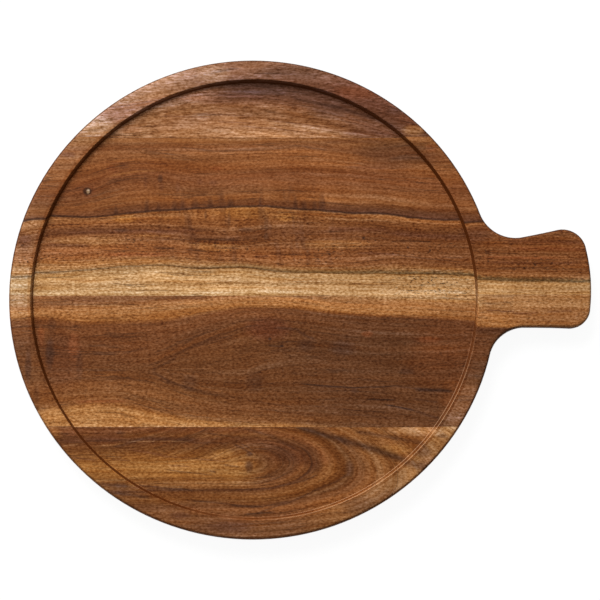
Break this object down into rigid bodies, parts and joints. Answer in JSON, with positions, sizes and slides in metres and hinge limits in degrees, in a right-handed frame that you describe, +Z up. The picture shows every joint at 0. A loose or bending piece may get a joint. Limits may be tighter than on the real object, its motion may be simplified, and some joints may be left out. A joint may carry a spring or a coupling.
{
  "type": "pizza serving board",
  "caption": "Round wooden serving board for pizza, glued up edge to edge from acacia staves, with a shallow round recess inside a raised rim and a short flared handle",
  "frame": {"origin": "centre of the round body, on the underside", "axes": "+X along the handle, +Y across the seams to the rear, +Z up out of the recess"},
  "size_m": [0.392, 0.328, 0.015],
  "materials": {
    "rear_stave_wood": "oiled satin",
    "rear_centre_stave_wood": "oiled satin",
    "front_centre_stave_wood": "oiled satin",
    "front_stave_wood": "oiled satin",
    "glue": "cured adhesive film"
  },
  "bodies": {
    "root": {"rear_stave": "rear_stave_wood", "rear_centre_stave": "rear_centre_stave_wood", "front_centre_stave": "front_centre_stave_wood", "front_stave": "front_stave_wood", "rear_glue_line": "glue", "centre_glue_line": "glue", "front_glue_line": "glue"}
  },
  "joints": []
}
